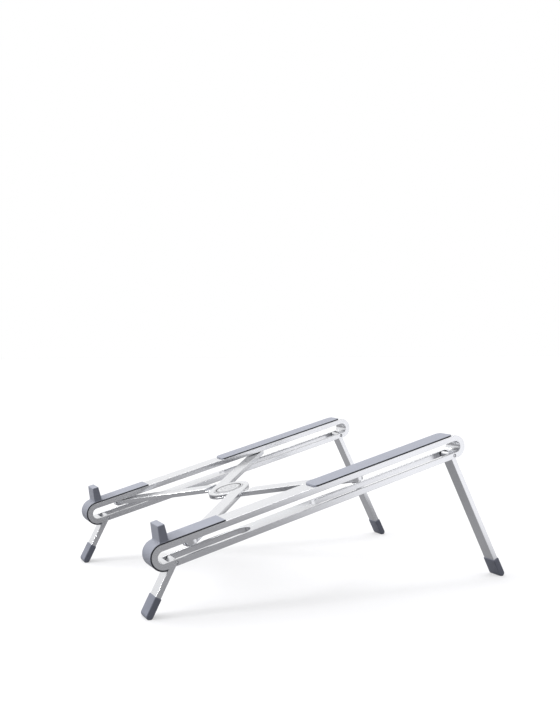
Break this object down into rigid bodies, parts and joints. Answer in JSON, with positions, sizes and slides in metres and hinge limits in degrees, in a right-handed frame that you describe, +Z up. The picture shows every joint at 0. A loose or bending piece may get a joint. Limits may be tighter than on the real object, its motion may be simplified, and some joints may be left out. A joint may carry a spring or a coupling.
{
  "type": "laptop stand",
  "caption": "Folding laptop stand: looped aluminium rails tilted up to the back on flip-out legs, joined by a stepped scissor, with silicone pads and front stops.",
  "frame": {"origin": "Middle of the footprint on the desk, under the stand: X and Y are the box's middle and Z is 0 at the soles of the feet.", "axes": "X runs across the stand to its right rail, Y runs from the low front with the stops to the high back, Z is up. Stored open, as it stands in use."},
  "size_m": [0.212, 0.3082, 0.1201],
  "materials": {
    "aluminium": "satin anodised",
    "cap": "satin anodised, turned",
    "silicone": "matte",
    "foot_rubber": "matte",
    "steel": "brushed",
    "nylon": "matte"
  },
  "bodies": {
    "right_rail": {"right_rail": "aluminium", "right_nose_cover": "silicone", "right_rear_pad": "silicone", "right_front_pin": "steel", "right_rear_pin": "steel", "right_front_bushes": "nylon", "right_rear_bushes": "nylon"},
    "left_rail": {"left_rail": "aluminium", "left_nose_cover": "silicone", "left_rear_pad": "silicone", "left_front_pin": "steel", "left_rear_pin": "steel", "left_front_bushes": "nylon", "left_rear_bushes": "nylon"},
    "right_front_leg": {"right_front_leg": "aluminium", "right_front_foot": "foot_rubber"},
    "left_front_leg": {"left_front_leg": "aluminium", "left_front_foot": "foot_rubber"},
    "right_rear_leg": {"right_rear_leg": "aluminium", "right_rear_foot": "foot_rubber"},
    "left_rear_leg": {"left_rear_leg": "aluminium", "left_rear_foot": "foot_rubber"},
    "right_front_slider": {"right_front_slider": "nylon", "right_front_screw": "steel", "right_front_washer": "nylon"},
    "left_front_slider": {"left_front_slider": "nylon", "left_front_screw": "steel", "left_front_washer": "nylon"},
    "top_bar": {"top_bar": "aluminium", "hub_rivet": "steel", "hub_washer": "nylon", "hub_cap": "cap", "left_rear_slider": "nylon", "left_rear_screw": "steel", "left_rear_washer": "nylon"},
    "bottom_bar": {"bottom_bar": "aluminium", "right_rear_slider": "nylon", "right_rear_screw": "steel", "right_rear_washer": "nylon"}
  },
  "joints": [
    {"name": "scissor_fold", "type": "hinge", "parent": "right_front_slider", "child": "top_bar", "pos_m": [0.096, -0.11944, 0.05173], "axis": [0, 0.2639, -0.9646], "range_deg": [0, 48.27]},
    {"name": "right_front_slide", "type": "slide", "parent": "right_rail", "child": "right_front_slider", "axis": [0, -0.9646, -0.2639], "range_m": [0, 0.0156]},
    {"name": "scissor_cross", "type": "hinge", "parent": "top_bar", "child": "bottom_bar", "pos_m": [0, -0.05173, 0.07026], "axis": [0, 0.2639, -0.9646], "range_deg": [-96.65, 0]},
    {"name": "left_front_turn", "type": "hinge", "parent": "bottom_bar", "child": "left_front_slider", "pos_m": [-0.096, -0.11944, 0.05173], "axis": [0, 0.2639, -0.9646], "range_deg": [0, 48.37]},
    {"name": "left_rail_slide", "type": "slide", "parent": "left_front_slider", "child": "left_rail", "axis": [0, 0.9646, 0.2639], "range_m": [0, 0.0156]},
    {"name": "right_front_hinge", "type": "hinge", "parent": "right_rail", "child": "right_front_leg", "pos_m": [0.096, -0.13281, 0.03885], "axis": [1, 0, 0], "range_deg": [0, 132.3]},
    {"name": "right_rear_hinge", "type": "hinge", "parent": "right_rail", "child": "right_rear_leg", "pos_m": [0.096, 0.10167, 0.10299], "axis": [-1, 0, 0], "range_deg": [0, 101]},
    {"name": "left_front_hinge", "type": "hinge", "parent": "left_rail", "child": "left_front_leg", "pos_m": [-0.096, -0.13281, 0.03885], "axis": [1, 0, 0], "range_deg": [0, 132.3]},
    {"name": "left_rear_hinge", "type": "hinge", "parent": "left_rail", "child": "left_rear_leg", "pos_m": [-0.096, 0.10167, 0.10299], "axis": [-1, 0, 0], "range_deg": [0, 101]}
  ],
  "couplings": [
    {"joint": "right_front_slide", "follows": "scissor_fold", "m_per_rad": 0.018396},
    {"joint": "scissor_cross", "follows": "scissor_fold", "ratio": -2},
    {"joint": "left_front_turn", "follows": "scissor_fold", "ratio": 1},
    {"joint": "left_rail_slide", "follows": "scissor_fold", "m_per_rad": 0.018396}
  ]
}
